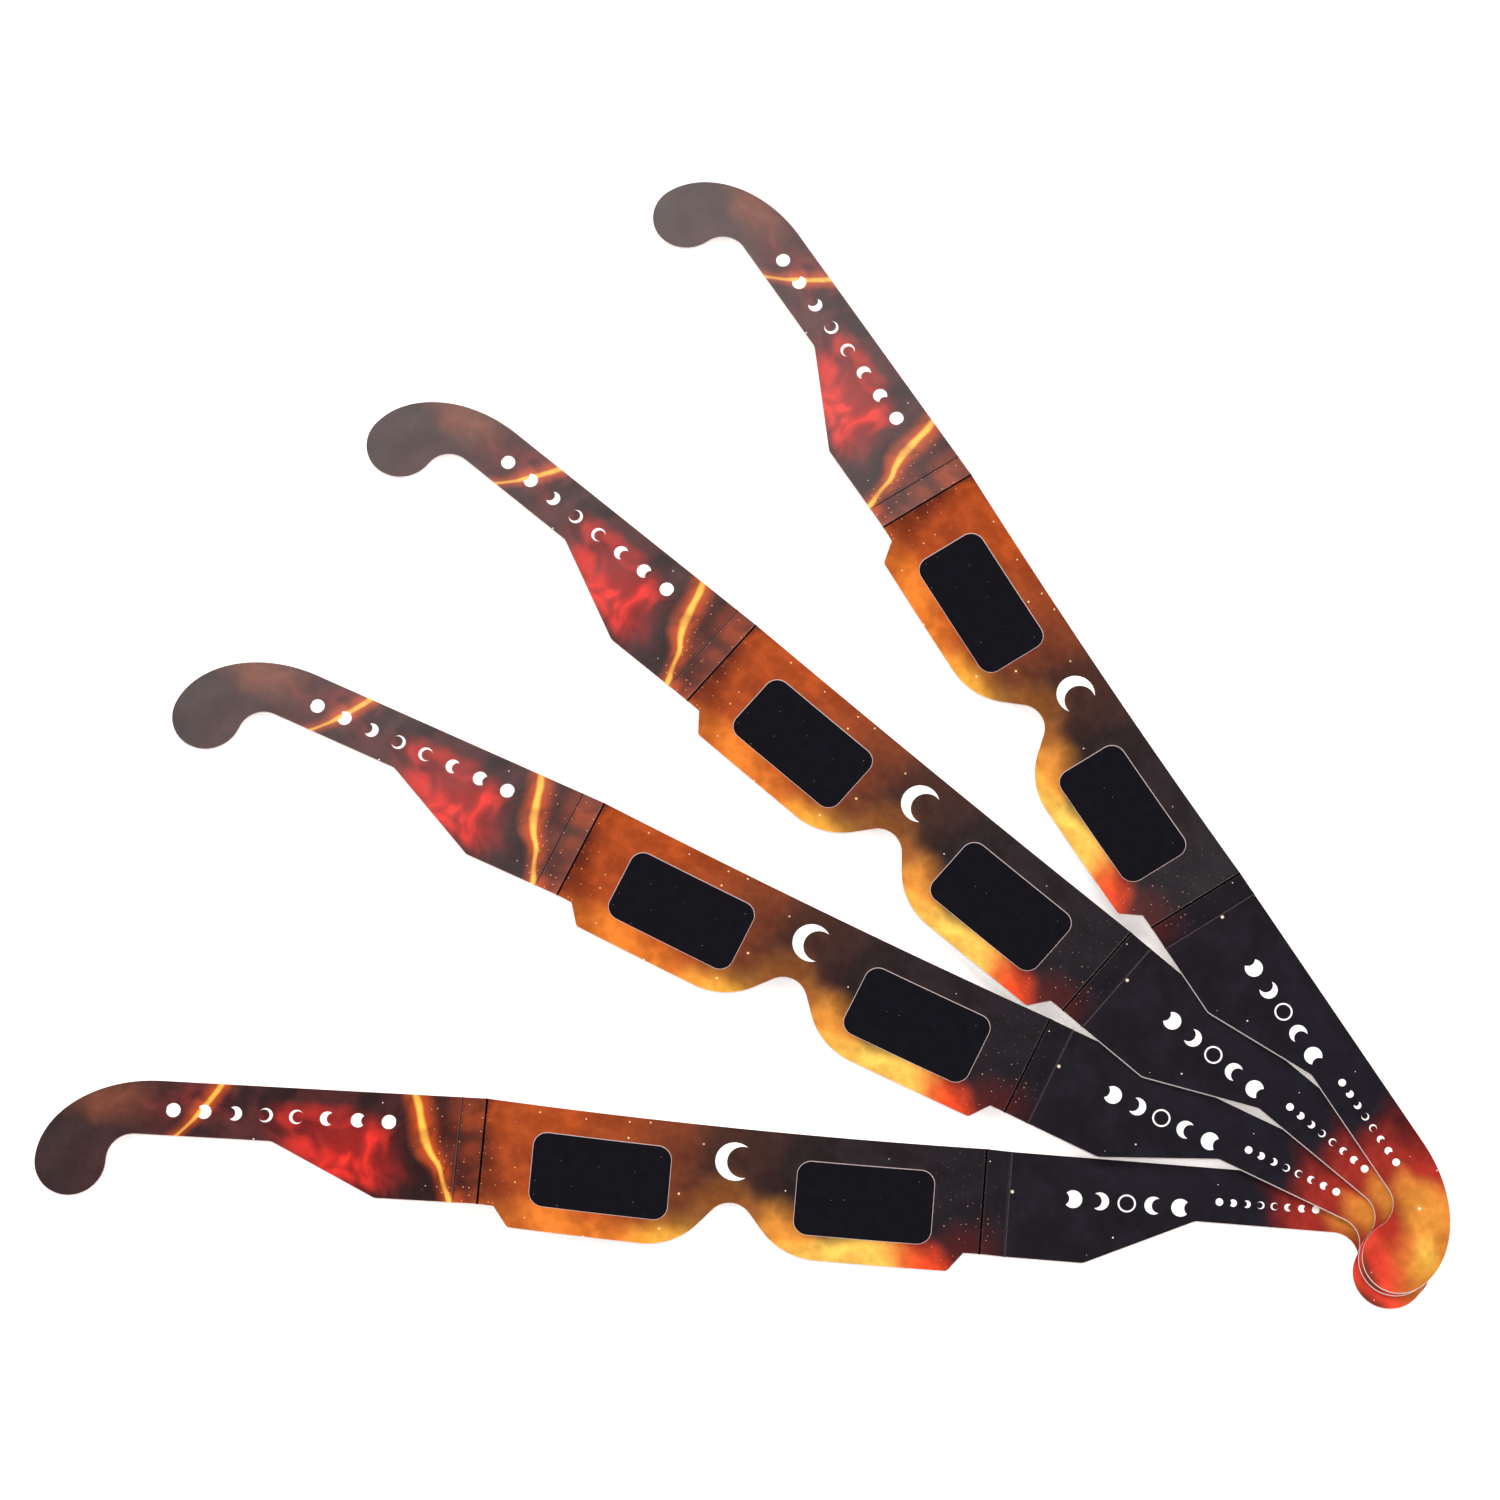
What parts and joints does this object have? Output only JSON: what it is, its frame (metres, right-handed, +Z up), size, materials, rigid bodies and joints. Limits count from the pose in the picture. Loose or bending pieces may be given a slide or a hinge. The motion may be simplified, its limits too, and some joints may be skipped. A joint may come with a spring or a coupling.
{
  "type": "eclipse glasses",
  "caption": "Fan of alike folded card viewing glasses, printed side up, each with dark film windows, a nose notch, creased temples and ear hooks.",
  "frame": {"origin": "on the table, under the middle of the lowest pair's right hook, about which the pairs are fanned", "axes": "+Z up from the table; +X to the right and +Y away from the camera as the picture is seen"},
  "size_m": [0.3899, 0.3339, 0.014],
  "materials": {
    "printed_card": "satin printed card",
    "white_card": "uncoated white card",
    "lens_film": "near-black glossy film"
  },
  "bodies": {
    "pair_1_right_temple": {"pair_1_right_temple_card": "printed_card", "pair_1_right_temple_backing": "white_card"},
    "pair_1_right_strip": {"pair_1_right_strip_card": "printed_card", "pair_1_right_strip_backing": "white_card"},
    "pair_1_front": {"pair_1_front_card": "printed_card", "pair_1_front_backing": "white_card", "pair_1_left_lens": "lens_film", "pair_1_right_lens": "lens_film"},
    "pair_1_left_strip": {"pair_1_left_strip_card": "printed_card", "pair_1_left_strip_backing": "white_card"},
    "pair_1_left_temple": {"pair_1_left_temple_card": "printed_card", "pair_1_left_temple_backing": "white_card"},
    "pair_2_right_temple": {"pair_2_right_temple_card": "printed_card", "pair_2_right_temple_backing": "white_card"},
    "pair_2_right_strip": {"pair_2_right_strip_card": "printed_card", "pair_2_right_strip_backing": "white_card"},
    "pair_2_front": {"pair_2_front_card": "printed_card", "pair_2_front_backing": "white_card", "pair_2_left_lens": "lens_film", "pair_2_right_lens": "lens_film"},
    "pair_2_left_strip": {"pair_2_left_strip_card": "printed_card", "pair_2_left_strip_backing": "white_card"},
    "pair_2_left_temple": {"pair_2_left_temple_card": "printed_card", "pair_2_left_temple_backing": "white_card"},
    "pair_3_right_temple": {"pair_3_right_temple_card": "printed_card", "pair_3_right_temple_backing": "white_card"},
    "pair_3_right_strip": {"pair_3_right_strip_card": "printed_card", "pair_3_right_strip_backing": "white_card"},
    "pair_3_front": {"pair_3_front_card": "printed_card", "pair_3_front_backing": "white_card", "pair_3_left_lens": "lens_film", "pair_3_right_lens": "lens_film"},
    "pair_3_left_strip": {"pair_3_left_strip_card": "printed_card", "pair_3_left_strip_backing": "white_card"},
    "pair_3_left_temple": {"pair_3_left_temple_card": "printed_card", "pair_3_left_temple_backing": "white_card"},
    "pair_4_right_temple": {"pair_4_right_temple_card": "printed_card", "pair_4_right_temple_backing": "white_card"},
    "pair_4_right_strip": {"pair_4_right_strip_card": "printed_card", "pair_4_right_strip_backing": "white_card"},
    "pair_4_front": {"pair_4_front_card": "printed_card", "pair_4_front_backing": "white_card", "pair_4_left_lens": "lens_film", "pair_4_right_lens": "lens_film"},
    "pair_4_left_strip": {"pair_4_left_strip_card": "printed_card", "pair_4_left_strip_backing": "white_card"},
    "pair_4_left_temple": {"pair_4_left_temple_card": "printed_card", "pair_4_left_temple_backing": "white_card"}
  },
  "joints": [
    {"name": "pair_1_right_score_fold", "type": "hinge", "parent": "pair_1_right_temple", "child": "pair_1_right_strip", "pos_m": [-0.106, 0.01771, 0.001], "axis": [0.0821, 0.9966, 0], "range_deg": [0, 40]},
    {"name": "pair_1_right_crease_fold", "type": "hinge", "parent": "pair_1_right_strip", "child": "pair_1_front", "pos_m": [-0.11278, 0.01827, 0.002], "axis": [0.0821, 0.9966, 0], "range_deg": [0, 97]},
    {"name": "pair_1_left_crease_fold", "type": "hinge", "parent": "pair_1_front", "child": "pair_1_left_strip", "pos_m": [-0.25031, 0.0296, 0.014], "axis": [0.0821, 0.9966, 0], "range_deg": [0, 110]},
    {"name": "pair_1_left_score_fold", "type": "hinge", "parent": "pair_1_left_strip", "child": "pair_1_left_temple", "pos_m": [-0.25709, 0.03016, 0.01329], "axis": [0.0821, 0.9966, 0], "range_deg": [0, 80]},
    {"name": "pair_2_lift", "type": "slide", "parent": "pair_1_right_temple", "child": "pair_2_right_temple", "axis": [0, 0, 1], "range_m": [0, 0.13]},
    {"name": "pair_2_right_score_fold", "type": "hinge", "parent": "pair_2_right_temple", "child": "pair_2_right_strip", "pos_m": [-0.094, 0.05313, 0.00466], "axis": [0.4396, 0.8982, 0], "range_deg": [0, 40]},
    {"name": "pair_2_right_crease_fold", "type": "hinge", "parent": "pair_2_right_strip", "child": "pair_2_front", "pos_m": [-0.10011, 0.05612, 0.00496], "axis": [0.4396, 0.8982, 0], "range_deg": [0, 90]},
    {"name": "pair_2_left_crease_fold", "type": "hinge", "parent": "pair_2_front", "child": "pair_2_left_strip", "pos_m": [-0.22406, 0.11679, 0.01101], "axis": [0.4396, 0.8982, 0], "range_deg": [0, 102]},
    {"name": "pair_2_left_score_fold", "type": "hinge", "parent": "pair_2_left_strip", "child": "pair_2_left_temple", "pos_m": [-0.23017, 0.11978, 0.01046], "axis": [0.4396, 0.8982, 0], "range_deg": [0, 80]},
    {"name": "pair_3_lift", "type": "slide", "parent": "pair_2_right_temple", "child": "pair_3_right_temple", "axis": [0, 0, 1], "range_m": [0, 0.13]},
    {"name": "pair_3_right_score_fold", "type": "hinge", "parent": "pair_3_right_temple", "child": "pair_3_right_strip", "pos_m": [-0.07532, 0.07819, 0.00602], "axis": [0.6537, 0.7568, 0], "range_deg": [0, 40]},
    {"name": "pair_3_right_crease_fold", "type": "hinge", "parent": "pair_3_right_strip", "child": "pair_3_front", "pos_m": [-0.08046, 0.08264, 0.00642], "axis": [0.6537, 0.7568, 0], "range_deg": [0, 91]},
    {"name": "pair_3_left_crease_fold", "type": "hinge", "parent": "pair_3_front", "child": "pair_3_left_strip", "pos_m": [-0.1849, 0.17285, 0.0068], "axis": [0.6537, 0.7568, 0], "range_deg": [0, 96]},
    {"name": "pair_3_left_score_fold", "type": "hinge", "parent": "pair_3_left_strip", "child": "pair_3_left_temple", "pos_m": [-0.19004, 0.17729, 0.00648], "axis": [0.6537, 0.7568, 0], "range_deg": [0, 80]},
    {"name": "pair_4_lift", "type": "slide", "parent": "pair_3_right_temple", "child": "pair_4_right_temple", "axis": [0, 0, 1], "range_m": [0, 0.13]},
    {"name": "pair_4_right_score_fold", "type": "hinge", "parent": "pair_4_right_temple", "child": "pair_4_right_strip", "pos_m": [-0.04902, 0.09705, 0.00738], "axis": [0.8444, 0.5357, 0], "range_deg": [0, 40]},
    {"name": "pair_4_right_crease_fold", "type": "hinge", "parent": "pair_4_right_strip", "child": "pair_4_front", "pos_m": [-0.05267, 0.10279, 0.00763], "axis": [0.8444, 0.5357, 0], "range_deg": [0, 93]},
    {"name": "pair_4_left_crease_fold", "type": "hinge", "parent": "pair_4_front", "child": "pair_4_left_strip", "pos_m": [-0.12659, 0.21932, 0.01251], "axis": [0.8444, 0.5357, 0], "range_deg": [0, 105]},
    {"name": "pair_4_left_score_fold", "type": "hinge", "parent": "pair_4_left_strip", "child": "pair_4_left_temple", "pos_m": [-0.13023, 0.22507, 0.01187], "axis": [0.8444, 0.5357, 0], "range_deg": [0, 80]}
  ]
}
